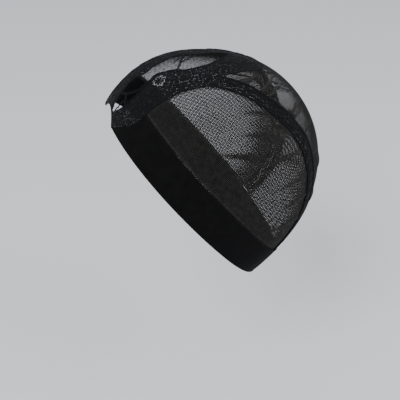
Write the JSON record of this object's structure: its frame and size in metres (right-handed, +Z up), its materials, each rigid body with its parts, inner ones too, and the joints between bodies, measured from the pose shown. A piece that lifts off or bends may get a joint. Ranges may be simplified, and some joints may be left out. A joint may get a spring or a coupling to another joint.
{
  "type": "mesh wig cap",
  "caption": "Dome-shaped mesh wig cap with a wide elastic band, net panels, lace over the crown and narrow trims down the back, in its worn form.",
  "frame": {"origin": "the point at the top of the cap's inside where the crown of the head bears", "axes": "+Z up with the head upright, -Y the way the wearer faces, +X the wearer's left"},
  "size_m": [0.1546, 0.173, 0.1887],
  "materials": {
    "band": "matt black woven elastic",
    "net": "black stretch net",
    "lace": "black stretch lace",
    "trim": "black ribbed elastic trim"
  },
  "bodies": {
    "root": {"elastic_band": "band", "lace_panel": "lace", "side_net_left": "net", "side_net_right": "net", "back_trim_left": "trim", "back_trim_right": "trim", "back_net": "net"}
  },
  "joints": []
}
